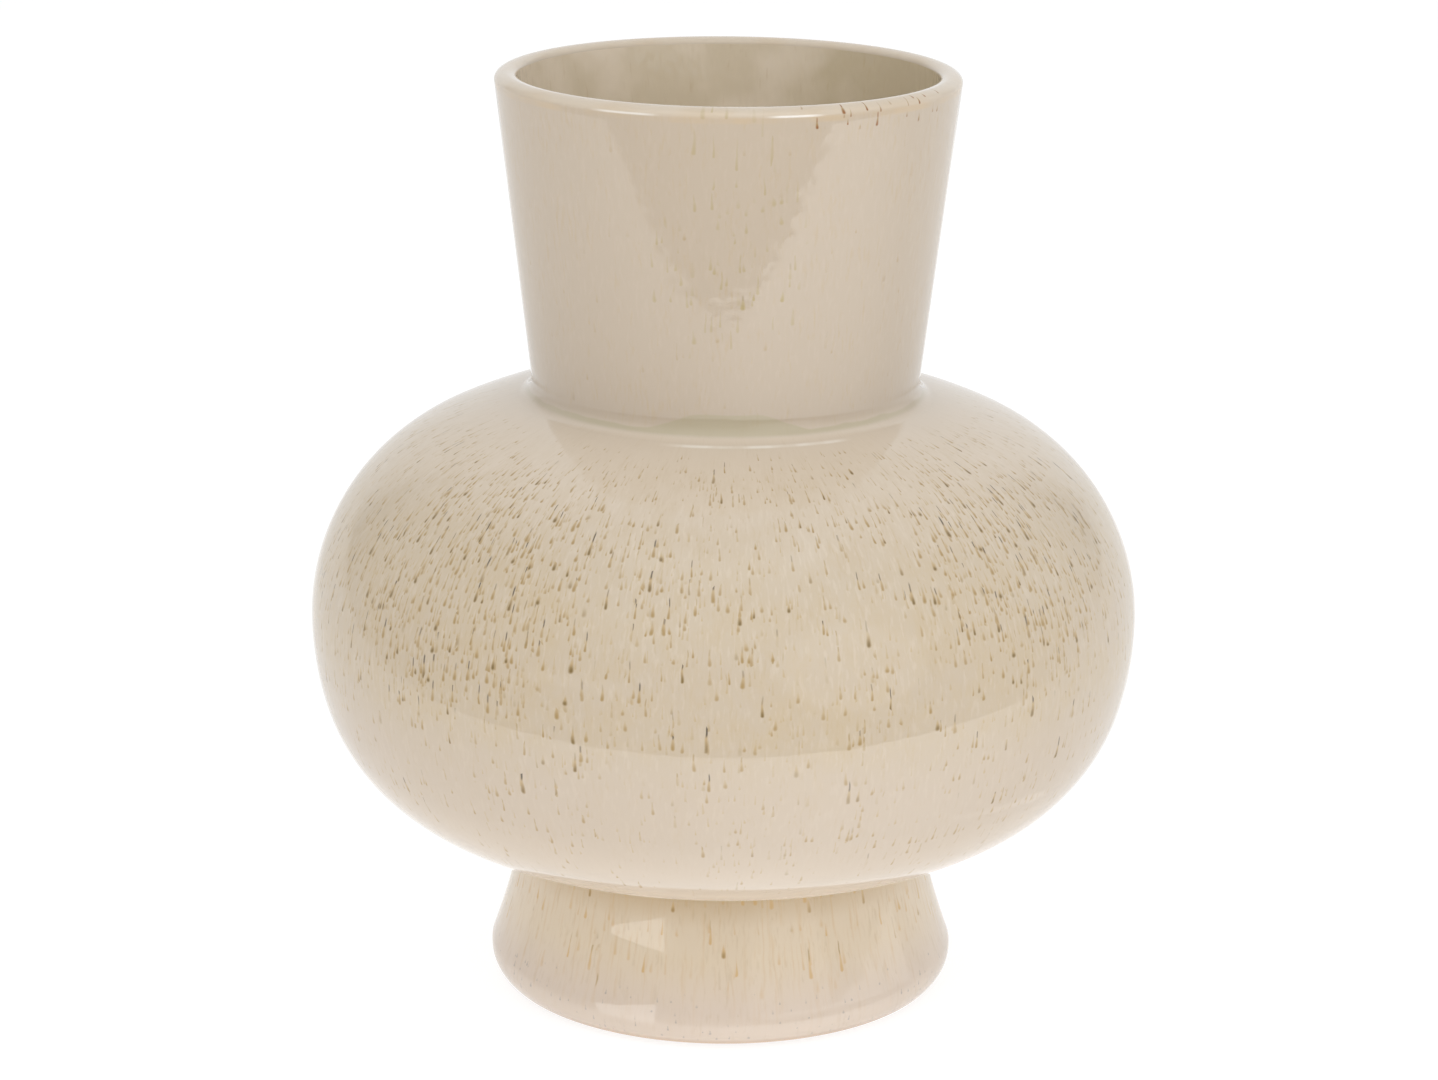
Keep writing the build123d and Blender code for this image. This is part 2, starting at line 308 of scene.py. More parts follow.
def winding(points):
    """Twice the area inside an outline, positive when it runs counter-clockwise."""
    return sum(a[0] * b[1] - b[0] * a[1] for a, b in zip(points, points[1:]))


def outline_mesh(name, points, skin):
    """A string of points with how far each lies from the second, wound so that its faces look outward."""
    runs = [-math.dist(points[0], points[1])]
    for before, after in zip(points, points[1:]):
        runs.append(runs[-1] + math.dist(before, after))
    if winding(points) < 0:
        points, skin, runs = points[::-1], skin[::-1], runs[::-1]
    mesh = bpy.data.meshes.new(name)
    mesh.from_pydata([(x, 0.0, z) for x, z in points], [(i, i + 1) for i in range(len(points) - 1)], [])
    mesh.attributes.new("run", "FLOAT", "POINT").data.foreach_set("value", runs)
    mesh.attributes.new("skin", "FLOAT", "POINT").data.foreach_set("value", skin)
    return mesh


def feed(tree, socket, value):
    """Links a socket to an input, or sets the input's own value."""
    if isinstance(value, bpy.types.NodeSocket):
        tree.links.new(value, socket)
    elif value is not None:
        socket.default_value = value


def add_node(tree, kind, inputs, **settings):
    """Adds a node with its settings, and feeds its inputs by their names or numbers."""
    node = tree.nodes.new(kind)
    for key, value in settings.items():
        setattr(node, key, value)
    for key, value in inputs.items():
        feed(tree, node.inputs[key], value)
    return node


def step(tree, kind, *values, out=0, **settings):
    """Adds a node, feeds its inputs in order and returns one output."""
    return add_node(tree, kind, dict(enumerate(values)), **settings).outputs[out]


def calc(tree, operation, *values):
    """One step of arithmetic on numbers."""
    return step(tree, "ShaderNodeMath", *values, operation=operation)


def product(tree, *values):
    """Numbers multiplied together."""
    result = values[0]
    for value in values[1:]:
        result = calc(tree, "MULTIPLY", result, value)
    return result


def away_from(tree, value, middle):
    """How far a value is from a middle."""
    return calc(tree, "ABSOLUTE", calc(tree, "SUBTRACT", value, middle))


def vector(tree, operation, *values, out=0):
    """One step of arithmetic on vectors."""
    return step(tree, "ShaderNodeVectorMath", *values, operation=operation, out=out)


def parts(tree, value):
    """The three numbers of a vector."""
    return add_node(tree, "ShaderNodeSeparateXYZ", {"Vector": value}).outputs[:3]


def scaled(tree, value, factor):
    """A vector times a number."""
    inputs = {"Vector": value, "Scale": factor}
    return add_node(tree, "ShaderNodeVectorMath", inputs, operation="SCALE").outputs[0]


def ramp(tree, value, low, high, to_low=0.0, to_high=1.0, kind="SMOOTHSTEP"):
    """Maps a span of a value to another span, held at both ends."""
    return step(
        tree, "ShaderNodeMapRange", value, low, high, to_low, to_high, interpolation_type=kind, clamp=True
    )


def soft_noise(tree, place, size, detail=2.0, rough=0.5, out=0):
    """Soft noise about 0.5, with patches of a size. Its second output holds three such noises."""
    inputs = {"Vector": place, "Scale": 1.0 / size, "Detail": detail, "Roughness": rough}
    return add_node(tree, "ShaderNodeTexNoise", inputs).outputs[out]


def in_scene(name, data):
    """A new object with its data, in the scene."""
    thing = bpy.data.objects.new(name, data)
    bpy.context.scene.collection.objects.link(thing)
    return thing


def wall_tree():
    """Geometry nodes that turn an outline about the axis and let the wall waver as a hand-thrown one does."""
    tree = bpy.data.node_groups.new("thrown_wall", "GeometryNodeTree")
    sockets = (
        ("Outline", "Geometry"), ("Facets Round", "Int"), ("Wobble", "Float"), ("Wobble Size", "Float"),
        ("Seed", "Float"), ("Finish", "Material"),
    )
    for name, kind in sockets:
        tree.interface.new_socket(name, in_out="INPUT", socket_type="NodeSocket" + kind)
    tree.interface.new_socket("Wall", in_out="OUTPUT", socket_type="NodeSocketGeometry")
    given = tree.nodes.new("NodeGroupInput").outputs
    outline, facets, wobble, size, seed, finish = given[:6]

    # A grid with a row for each point of the outline and a column for each facet
    rows = step(tree, "GeometryNodeAttributeDomainSize", outline, component="MESH")
    columns = calc(tree, "ADD", facets, 1.0)
    grid = step(tree, "GeometryNodeMeshGrid", 1.0, 1.0, columns, rows)
    place = step(tree, "GeometryNodeInputPosition")
    across, down = (calc(tree, "ADD", part, 0.5) for part in parts(tree, place)[:2])
    row = calc(tree, "ROUND", product(tree, down, calc(tree, "SUBTRACT", rows, 1.0)))
    angle = product(tree, across, math.tau)

    def at_row(kind, value):
        """A value of the outline's point that a place's row stands for."""
        inputs = {"Geometry": outline, "Value": value, "Index": row}
        node = add_node(tree, "GeometryNodeSampleIndex", inputs, data_type=kind, domain="POINT")
        return node.outputs[0]

    def keep(geometry, name, kind, domain, value):
        """Stores a value on a mesh as an attribute."""
        inputs = {"Geometry": geometry, "Name": name, "Value": value}
        node = add_node(tree, "GeometryNodeStoreNamedAttribute", inputs, data_type=kind, domain=domain)
        return node.outputs[0]

    def own(name):
        """An attribute of the mesh."""
        return step(tree, "GeometryNodeInputNamedAttribute", name, data_type="FLOAT")

    # Each row takes its point's attributes and place, and each column is turned about the axis
    wall = grid
    for name in ("run", "skin"):
        wall = keep(wall, name, "FLOAT", "POINT", at_row("FLOAT", own(name)))
    unrolled = step(tree, "ShaderNodeCombineXYZ", across, down, 0.0)
    wall = keep(wall, "UVMap", "FLOAT2", "CORNER", unrolled)
    inputs = {"Vector": at_row("FLOAT_VECTOR", place), "Angle": angle}
    turned = add_node(tree, "ShaderNodeVectorRotate", inputs, rotation_type="Z_AXIS").outputs[0]
    wall = add_node(tree, "GeometryNodeSetPosition", {"Geometry": wall, "Position": turned}).outputs[0]
    inputs = {"Geometry": wall, "Distance": SAME_PLACE}
    wall = add_node(tree, "GeometryNodeMergeByDistance", inputs).outputs[0]

    # The skin wavers inwards, so that it stays within its size
    start = step(tree, "ShaderNodeCombineXYZ", seed, seed, seed)
    spread = step(tree, "ShaderNodeCombineXYZ", size, size, size)
    ripple = soft_noise(tree, vector(tree, "ADD", vector(tree, "DIVIDE", place, spread), start), 1.0, 1.0)
    inward = product(tree, ripple, wobble, -1.0, own("skin"))
    shift = scaled(tree, step(tree, "GeometryNodeInputNormal"), inward)
    wall = add_node(tree, "GeometryNodeSetPosition", {"Geometry": wall, "Offset": shift}).outputs[0]
    wall = step(tree, "GeometryNodeRealizeInstances", wall)
    wall = add_node(tree, "GeometryNodeSetMaterial", {"Geometry": wall, "Material": finish}).outputs[0]
    add_node(tree, "NodeGroupOutput", {"Wall": wall})
    return tree


def turn_wall(name, outline, finish, wobble, seed):
    """Turns an outline into a piece with the geometry nodes, and keeps the result as a plain mesh."""
    mesh = outline_mesh(name + "_outline", *outline)
    source = in_scene(name + "_outline", mesh)
    modifier = source.modifiers.new("thrown_wall", "NODES")
    modifier.node_group = WALL_TREE
    chosen = {
        "Facets Round": FACETS_ROUND,
        "Wobble": wobble,
        "Wobble Size": WOBBLE_SIZE,
        "Seed": seed,
        "Finish": finish,
    }
    for item in WALL_TREE.interface.items_tree:
        if item.name in chosen:
            modifier[item.identifier] = chosen[item.name]
    bpy.context.view_layer.update()
    evaluated = source.evaluated_get(bpy.context.evaluated_depsgraph_get())
    result = bpy.data.meshes.new_from_object(evaluated)
    result.name = name
    source.modifiers.clear()
    bpy.data.objects.remove(source)
    bpy.data.meshes.remove(mesh)
    piece = in_scene(name, result)
    result.shade_smooth()
    result.set_sharp_from_angle(angle=math.radians(SHARP_ANGLE))
    return piece


# ------------------------------------------------------------------ finishes

# Colours of the fired glaze and clay
CREAM = (0.562, 0.476, 0.366, 1.0)
LOW_CREAM = (0.548, 0.462, 0.358, 1.0)
GREIGE = (0.505, 0.422, 0.330, 1.0)
SHOULDER = (0.635, 0.545, 0.438, 1.0)
PALE = (0.553, 0.465, 0.372, 1.0)
# Painted light: the belly's underside is painted paler towards its limb, for light bounced from the floor
UNDER_BOUNCE_PALE = (0.592, 0.500, 0.400, 1.0)
LIMB_BOUNCE_PALE = (0.665, 0.575, 0.485, 1.0)
FOOT_CREAM = (0.710, 0.605, 0.465, 1.0)
# Painted shade: the top of the foot, under the overhang of the belly, is painted darker and yellower
FOOT_SHADE = (0.575, 0.445, 0.280, 1.0)
# Painted reflection: the toe is painted lighter and pinker for the white table mirrored in its round
TOE_REFLECTION_PINK = (0.680, 0.580, 0.490, 1.0)
TOE_CLAY = (0.560, 0.400, 0.270, 1.0)
TOE_GREY = (0.330, 0.300, 0.290, 1.0)
MILK = (0.700, 0.625, 0.530, 1.0)
OCHRE_CLOUD = (0.545, 0.440, 0.300, 1.0)
OCHRE_RUN = (0.484, 0.353, 0.190, 1.0)
ORANGE_RUN = (0.620, 0.420, 0.200, 1.0)
OLIVE_RUN = (0.415, 0.330, 0.155, 1.0)
OCHRE = (0.355, 0.242, 0.104, 1.0)
BROWN = (0.204, 0.140, 0.060, 1.0)
RUST = (0.260, 0.100, 0.040, 1.0)
DARK = (0.060, 0.052, 0.048, 1.0)
LIP_PALE = (0.600, 0.515, 0.410, 1.0)
LIP_TAN = (0.560, 0.430, 0.280, 1.0)
# Glaze pooled in the crease, and at the front a painted reflection of the dark room
POOL_OLIVE_AND_REFLECTION = (0.435, 0.385, 0.262, 1.0)
# Painted highlight: the near-white of the glints and bright lines painted on the lip and below the crease
GLINT = (0.900, 0.880, 0.840, 1.0)
# Painted light: the liner is painted lighter than the glaze outside, to make up for the shade inside
LINER_GREIGE = (0.725, 0.625, 0.495, 1.0)
LINER_OLIVE = (0.570, 0.480, 0.335, 1.0)
CLAY_LIGHT = (0.60, 0.40, 0.25, 1.0)
CLAY_DARK = (0.45, 0.28, 0.16, 1.0)
SLIP_LIGHT = (0.54, 0.37, 0.24, 1.0)
SLIP_DARK = (0.42, 0.27, 0.16, 1.0)

# The glaze under its speckles, from the toe up: (height in metres, colour). Some stops are painted light
# and shade: a lighter toe as painted reflection of the table, a darker top of the foot as painted shade
# under the belly, and a paler underside of the belly as painted light bounced from the floor
GROUND = (
    (0.0, TOE_REFLECTION_PINK), (0.010, TOE_REFLECTION_PINK), (0.021, FOOT_CREAM), (0.029, FOOT_CREAM), (0.0385, FOOT_SHADE),
    (0.043, LIMB_BOUNCE_PALE), (0.0455, LIMB_BOUNCE_PALE), (0.050, UNDER_BOUNCE_PALE), (0.056, UNDER_BOUNCE_PALE), (0.066, PALE),
    (0.078, PALE), (0.090, LOW_CREAM), (0.104, LOW_CREAM), (0.116, CREAM), (0.126, CREAM),
    (0.140, SHOULDER), (0.1465, SHOULDER), (0.1500, GREIGE), (0.2246, GREIGE),
)

# How much of each thing shows in the glaze, from the toe up: (height in metres, amount)
CLOUDY = (
    (0.0, 0.1), (0.041, 0.0), (0.070, 0.15), (0.084, 0.35), (0.090, 1.0), (0.108, 1.0), (0.134, 0.75),
    (0.1425, 0.5), (0.1465, 0.0), (0.224, 0.0),
)
FIBROUS = (
    (0.0, 0.05), (0.041, 0.0), (0.066, 0.08), (0.100, 0.20), (0.134, 0.28), (0.1448, 0.10), (0.150, 0.02),
    (0.156, 0.06), (0.224, 0.06),
)
THREADED = (
    (0.0, 0.1), (0.012, 0.2), (0.036, 0.3), (0.041, 0.0), (0.050, 0.05), (0.085, 0.20), (0.14, 0.25),
    (0.1485, 0.10), (0.152, 0.28), (0.224, 0.28),
)
FOOT_THREADED = ((0.0, 0.0), (0.008, 0.10), (0.016, 0.28), (0.036, 0.34), (0.041, 0.0), (0.06, 0.0))
FOOT_RUNNY = ((0.0, 0.0), (0.012, 0.15), (0.018, 0.7), (0.036, 0.7), (0.041, 0.0), (0.06, 0.0))
TOE_GRAINY = ((0.0, 0.3), (0.002, 0.8), (0.011, 0.7), (0.016, 0.0), (0.06, 0.0))
SPECKLED = (
    (0.0, 0.10), (0.030, 0.16), (0.041, 0.0), (0.050, 0.31), (0.066, 0.52), (0.083, 0.52), (0.090, 0.58),
    (0.100, 0.74), (0.112, 0.91), (0.134, 0.94), (0.1415, 0.80), (0.1448, 0.38), (0.1462, 0.0),
    (0.152, 0.16), (0.176, 0.22), (0.196, 0.15), (0.224, 0.10),
)

# Scatters of run speckles: (cell width, length), (drip width, length), share, seed, strength, and the
# colours of tail, head and core
FINE_SPECKLES = (
    ((0.0013, 0.0032), (0.00060, 0.0026), 0.84, 3.1, 0.38, OCHRE_RUN, OCHRE_RUN, OCHRE_RUN),
    ((0.0018, 0.0040), (0.00080, 0.0032), 0.90, 11.3, 0.58, OCHRE_RUN, OCHRE, OCHRE),
)
LARGE_SPECKLES = (
    ((0.0026, 0.0050), (0.00092, 0.0036), 0.90, 23.9, 0.84, OCHRE_RUN, OCHRE, DARK),
    ((0.0046, 0.0074), (0.00102, 0.0046), 0.82, 37.7, 0.97, OCHRE_RUN, BROWN, DARK),
)
FOOT_RUNS = (
    ((0.0022, 0.0080), (0.00095, 0.0050), 0.80, 71.9, 0.30, ORANGE_RUN, ORANGE_RUN, ORANGE_RUN),
    ((0.0038, 0.0090), (0.00100, 0.0058), 0.66, 83.3, 0.62, ORANGE_RUN, ORANGE_RUN, OCHRE),
    ((0.0064, 0.0110), (0.00095, 0.0052), 0.52, 97.1, 0.80, ORANGE_RUN, OCHRE, BROWN),
)
TOE_GRAINS = (((0.0024, 0.0022), (0.00055, 0.0009), 0.62, 43.7, 0.38, TOE_GREY, TOE_GREY, TOE_GREY),)
NECK_RUNS = (
    ((0.0020, 0.0046), (0.00090, 0.0036), 0.80, 51.3, 0.32, OLIVE_RUN, OLIVE_RUN, OLIVE_RUN),
    ((0.0048, 0.0080), (0.00095, 0.0030), 0.50, 57.9, 0.60, OLIVE_RUN, OLIVE_RUN, BROWN),
)
LIP_STREAKS = (((0.0022, 0.0100), (0.00085, 0.0080), 0.60, 61.7, 0.30, OLIVE_RUN, OLIVE_RUN, OLIVE_RUN),)
LIP_RUST = (((0.0024, 0.0046), (0.00064, 0.0023), 0.84, 63.1, 0.9, OCHRE, RUST, RUST),)

# Round patches of the wall: (middle, reach)
CROWDED_LEFT = ((-0.063, -0.068, 0.114), 0.041)
CROWDED_RIGHT = ((0.070, -0.056, 0.119), 0.037)
# Painted highlight: fewer speckles at the front right of the belly, where a soft lamp is mirrored
SPARSE_FOR_HIGHLIGHT = ((0.030, -0.090, 0.105), 0.036)
NECK_MIDDLE = ((0.001, -0.051, 0.187), 0.027)
UNDER_LIP = ((0.004, -0.054, 0.214), 0.024)
LIP_RIGHT = ((0.036, -0.041, 0.222), 0.026)

# Places on the lip, as distances down the wall from its inner edge: a painted highlight line along its
# front, the run of its painted glints, and where its round ends
LIP_HIGHLIGHT_LINE = 0.0027
LIP_GLINT = 0.0068
LIP_END = 0.0076

# Bearings in degrees from the front: the painted glints of the lip as (middle, full, gone, amount)
LIP_GLINTS = ((-25, 4, 10, 0.8), (16, 3, 8, 1.0))

# Heights of the glaze that has pooled in the crease, painted higher at the front as a reflection of the dark
# room: its top at the front and at the sides, its foot, and the painted highlight line below
POOL_FRONT = 0.1528
POOL_SIDE = 0.1489
POOL_FOOT = 0.1474
POOL_HIGHLIGHT_LINE = 0.1464
POOL_WAVER = 0.0014

# How the glazes bend light, and how high bumps stand on glaze and clay
GLAZE_IOR = 1.58
GLAZE_BUMP = 0.0003
SAND_BUMP = 0.0002

# Sizes of the patterns in the glaze, and how far each is drawn down the wall
BIG_CLOUD = 0.045
SMALL_CLOUD = 0.005
SMALL_CLOUD_DRAWN = 1.6
FIBRE = 0.0010
FIBRE_DRAWN = 3.5
THREAD = 0.0008
THREAD_DRAWN = 5.0
THREAD_BREAK = 0.004
THREAD_BREAK_DRAWN = 2.0
FOOT_THREAD = 0.0009
FOOT_THREAD_DRAWN = 14.0
LINER_THREAD = 0.0013
SPECKLE_GROUP = 0.018
SWAY_SIZE = 0.004
SWAY = 0.0008
LIP_PATCH = 0.014
LIP_WEAR = 0.010
POOL_WAVE = 0.009
LINE_BREAK = 0.008
LINER_PATCH = 0.018
BASE_PATCH = 0.015
SLOW_WAVER = 0.010
FINE_WAVER = 0.0024
FINE_WAVER_DRAWN = 2.0
CLAY_GRAIN = 0.0009
SLIP_GRAIN = 0.0005
CLAY_STAIN = 0.02


def new_finish(name):
    """An empty material with its tree and its shader."""
    finish = bpy.data.materials.new(name)
    finish.use_nodes = True
    shader = finish.node_tree.nodes["Principled BSDF"]
    return finish, finish.node_tree, shader


def mixed(tree, amount, under, over):
    """One colour laid over another."""
    return add_node(tree, "ShaderNodeMix", {0: amount, 6: under, 7: over}, data_type="RGBA").outputs[2]


def drawn_out(tree, wall, stretch):
    """Wall places squeezed down the wall, so that what is laid on them runs."""
    return vector(tree, "MULTIPLY", wall, (1.0, 1.0, 1.0 / stretch))


def patch(tree, place, middle, reach):
    """1 in the middle of a round patch, fading to 0 at its reach."""
    return ramp(tree, vector(tree, "DISTANCE", place, middle, out=1), reach * 0.35, reach, 1.0, 0.0)


def near(tree, value, middle, full, gone, most=1.0):
    """An amount that is full within one distance of a middle and gone at another."""
    return ramp(tree, away_from(tree, value, middle), full, gone, most, 0.0)


def near_bearing(tree, angle, middle, full, gone, most):
    """An amount that is full about a bearing, with its angles in degrees."""
    return near(tree, angle, math.radians(middle), math.radians(full), math.radians(gone), most)


def place_on_pot(tree):
    """Object place, height, the place on the unrolled wall with +Z running down it, and the run alone."""
    place = step(tree, "ShaderNodeTexCoord", out=3)
    height = parts(tree, place)[2]
    outward = vector(tree, "NORMALIZE", vector(tree, "MULTIPLY", place, (1.0, 1.0, 0.0)))
    on_neck = calc(tree, "GREATER_THAN", height, CREASE_HEIGHT)
    on_foot = calc(tree, "LESS_THAN", height, FOOT_TOP)
    girth = calc(tree, "MULTIPLY_ADD", on_neck, NECK_GIRTH - BELLY_RADIUS, BELLY_RADIUS)
    girth = calc(tree, "MULTIPLY_ADD", on_foot, FOOT_GIRTH - BELLY_RADIUS, girth)
    run = step(tree, "ShaderNodeAttribute", out="Fac", attribute_name="run")
    down = step(tree, "ShaderNodeCombineXYZ", 0.0, 0.0, run)
    wall = vector(tree, "ADD", scaled(tree, outward, girth), down)
    return place, height, wall, run


def drips_group():
    """Node group: speckles that have run down the unrolled wall, each a dark head below a thinning tail."""
    tree = bpy.data.node_groups.new("glaze_drips", "ShaderNodeTree")
    face = tree.interface
    face.new_socket("Wall", in_out="INPUT", socket_type="NodeSocketVector")
    for name in ("Cell Width", "Cell Length", "Drip Width", "Drip Length", "Amount", "Seed"):
        face.new_socket(name, in_out="INPUT", socket_type="NodeSocketFloat")
    for name in ("Stain", "Head", "Core"):
        face.new_socket(name, in_out="OUTPUT", socket_type="NodeSocketFloat")
    given = tree.nodes.new("NodeGroupInput").outputs
    wall, cell_width, cell_length, drip_width, drip_length, amount, seed = given[:7]

    # Each cell holds one speckle, and gives how far a place lies from it in metres
    cell = step(tree, "ShaderNodeCombineXYZ", cell_width, cell_width, cell_length)
    start = step(tree, "ShaderNodeCombineXYZ", seed, product(tree, seed, 1.7), seed)
    spot = vector(tree, "ADD", vector(tree, "DIVIDE", wall, cell), start)
    inputs = {"Vector": spot, "Scale": 1.0, "Randomness": 0.95}
    cells = add_node(tree, "ShaderNodeTexVoronoi", inputs, voronoi_dimensions="3D").outputs
    away = vector(tree, "MULTIPLY", vector(tree, "SUBTRACT", spot, cells["Position"]), cell)
    outward = vector(tree, "NORMALIZE", vector(tree, "MULTIPLY", wall, (1.0, 1.0, 0.0)))
    around = vector(tree, "CROSS_PRODUCT", (0.0, 0.0, 1.0), outward)
    across = calc(tree, "ABSOLUTE", vector(tree, "DOT_PRODUCT", away, around, out=1))
    deep = calc(tree, "ABSOLUTE", vector(tree, "DOT_PRODUCT", away, outward, out=1))
    size, girth, chance = add_node(tree, "ShaderNodeSeparateColor", {"Color": cells["Color"]}).outputs[:3]

    # The stain: round below, and narrower and fainter up its tail. By chance one is 0.4 to 1.4 of the drip's
    # length, and its half width is 0.3 to 0.65 of the drip's width
    length = product(tree, drip_length, calc(tree, "ADD", size, 0.4))
    half = product(tree, drip_width, calc(tree, "MULTIPLY_ADD", girth, 0.35, 0.3))
    below = calc(tree, "SUBTRACT", parts(tree, away)[2], product(tree, length, 0.3))
    under = calc(tree, "MAXIMUM", below, 0.0)
    above = calc(tree, "DIVIDE", calc(tree, "MAXIMUM", product(tree, below, -1.0), 0.0), length)
    squares = calc(tree, "ADD", calc(tree, "POWER", across, 2.0), calc(tree, "POWER", under, 2.0))
    taper = ramp(tree, above, 0.0, 0.80, 1.0, 0.45)
    edge = calc(tree, "DIVIDE", calc(tree, "SQRT", squares), product(tree, half, taper))
    body = ramp(tree, edge, 0.15, 1.30, 1.0, 0.0)
    tail = ramp(tree, above, 0.30, 1.0, 1.0, 0.0)
    on_wall = ramp(tree, calc(tree, "DIVIDE", deep, cell_width), 0.25, 0.45, 1.0, 0.0)
    there = ramp(tree, calc(tree, "SUBTRACT", amount, chance), 0.0, 0.25)
    shown = product(tree, on_wall, there)
    stain = product(tree, body, tail, shown)

    # The head at its low end, and the core that only large speckles have, in their tails
    head = product(tree, stain, ramp(tree, above, 0.0, 0.45, 1.0, 0.0))
    core_edge = calc(tree, "DIVIDE", across, product(tree, half, 0.62))
    core_span = product(tree, ramp(tree, above, 0.42, 0.60), ramp(tree, above, 0.80, 1.0, 1.0, 0.0))
    large = ramp(tree, size, 0.50, 0.85)
    core = product(tree, ramp(tree, core_edge, 0.25, 1.0, 1.0, 0.0), core_span, shown, large, 0.85)
    add_node(tree, "NodeGroupOutput", {"Stain": stain, "Head": head, "Core": core})
    return tree


def lay_drips(tree, under, wall, cell, drip, amount, seed, strength, tail_colour, head_colour, core_colour):
    """Lays one scatter of run speckles over a colour. Cells and drips are (width, length) in metres."""
    inputs = dict(enumerate((wall, *cell, *drip, amount, seed)))
    stain, head, core = add_node(tree, "ShaderNodeGroup", inputs, node_tree=DRIPS).outputs[:3]
    colour = mixed(tree, product(tree, stain, strength), under, tail_colour)
    colour = mixed(tree, product(tree, head, strength), colour, head_colour)
    return mixed(tree, product(tree, core, strength), colour, core_colour)


def colour_by_height(tree, height, stops):
    """A colour that follows the height, from (height in metres, colour) stops."""
    low, high = stops[0][0], stops[-1][0]
    node = tree.nodes.new("ShaderNodeValToRGB")
    feed(tree, node.inputs[0], ramp(tree, height, low, high, kind="LINEAR"))
    band = node.color_ramp
    while len(band.elements) < len(stops):
        band.elements.new(0.5)
    for element, (at, colour) in zip(band.elements, stops):
        element.position = (at - low) / (high - low)
        element.color = colour
    return node.outputs[0]


def by_height(tree, height, stops):
    """A number that follows the height, from (height in metres, value) stops."""
    greys = [(at, (value, value, value, 1.0)) for at, value in stops]
    return step(tree, "ShaderNodeSeparateColor", colour_by_height(tree, height, greys))


def bump(tree, shader, height, strength, distance):
    """Lays a height on a surface as bump."""
    inputs = {"Strength": strength, "Distance": distance, "Height": height}
    feed(tree, shader.inputs["Normal"], add_node(tree, "ShaderNodeBump", inputs).outputs[0])


def fire_glaze(tree, shader, place, wall, colour, roughness, waver):
    """Gives a glaze its colour, its shine and the slight waver of its skin."""
    feed(tree, shader.inputs["Base Color"], colour)
    shader.inputs["Roughness"].default_value = roughness
    shader.inputs["IOR"].default_value = GLAZE_IOR
    slow = soft_noise(tree, place, SLOW_WAVER, 1.0)
    fine = soft_noise(tree, drawn_out(tree, wall, FINE_WAVER_DRAWN), FINE_WAVER, 1.0)
    bump(tree, shader, calc(tree, "MULTIPLY_ADD", slow, 0.30, fine), waver, GLAZE_BUMP)


def ground_colour(tree, place, height, wall):
    """The glaze under its speckles: greige neck, cream belly clouded with ochre and milk, warm foot. By
    height it also holds painted light and shade: a reflection on the toe, shade on the top of the foot and
    floor light under the belly.
    """
    ground = colour_by_height(tree, height, GROUND)
    big = ramp(tree, soft_noise(tree, place, BIG_CLOUD, 3.0, 0.6), 0.38, 0.66)
    small = soft_noise(tree, drawn_out(tree, wall, SMALL_CLOUD_DRAWN), SMALL_CLOUD, 4.0, 0.7)
    small = ramp(tree, small, 0.36, 0.70)
    clouds = calc(tree, "MULTIPLY_ADD", big, 0.30, product(tree, small, 0.50))
    clouds = product(tree, clouds, by_height(tree, height, CLOUDY))
    ground = mixed(tree, clouds, ground, OCHRE_CLOUD)
    fibres = ramp(tree, soft_noise(tree, drawn_out(tree, wall, FIBRE_DRAWN), FIBRE), 0.50, 0.72)
    return mixed(tree, product(tree, fibres, by_height(tree, height, FIBROUS)), ground, MILK)


def lay_threads(tree, under, height, wall):
    """Fine broken threads where the glaze ran, strongest on the foot."""
    fine = ramp(tree, soft_noise(tree, drawn_out(tree, wall, THREAD_DRAWN), THREAD), 0.48, 0.74)
    broken = soft_noise(tree, drawn_out(tree, wall, THREAD_BREAK_DRAWN), THREAD_BREAK)
    broken = ramp(tree, broken, 0.36, 0.66)
    threads = product(tree, fine, broken, by_height(tree, height, THREADED))
    colour = mixed(tree, threads, under, OCHRE_RUN)
    long = soft_noise(tree, drawn_out(tree, wall, FOOT_THREAD_DRAWN), FOOT_THREAD)
    long = ramp(tree, long, 0.50, 0.78)
    return mixed(tree, product(tree, long, by_height(tree, height, FOOT_THREADED)), colour, ORANGE_RUN)


def lay_runs(tree, under, wall, scatters, amount):
    """Lays scatters of run speckles one over another."""
    colour = under
    for cell, drip, share, seed, strength, *stains in scatters:
        scatter = product(tree, amount, share)
        colour = lay_drips(tree, colour, wall, cell, drip, scatter, seed, strength, *stains)
    return colour


def lay_speckles(tree, under, place, height, wall):
    """Brown speckles, crowded at the left and right of the belly, the large ones mostly about its middle."""
    crowded = calc(tree, "MAXIMUM", patch(tree, place, *CROWDED_LEFT), patch(tree, place, *CROWDED_RIGHT))
    uneven = ramp(tree, soft_noise(tree, place, SPECKLE_GROUP), 0.34, 0.64, 0.40, 0.92)
    gathered = calc(tree, "MULTIPLY_ADD", crowded, 0.64, uneven)
    # Painted highlight: the speckles thin out where a soft lamp is mirrored on the front right of the belly
    gathered = calc(tree, "MULTIPLY_ADD", patch(tree, place, *SPARSE_FOR_HIGHLIGHT), -0.15, gathered)
    amount = product(tree, by_height(tree, height, SPECKLED), gathered)
    colour = lay_runs(tree, under, wall, FINE_SPECKLES, amount)
    fewer_above = ramp(tree, height, 0.126, 0.144, 1.0, 0.60)
    fewer_below = ramp(tree, height, 0.070, 0.095, 0.52, 1.0)
    return lay_runs(tree, colour, wall, LARGE_SPECKLES, product(tree, amount, fewer_above, fewer_below))


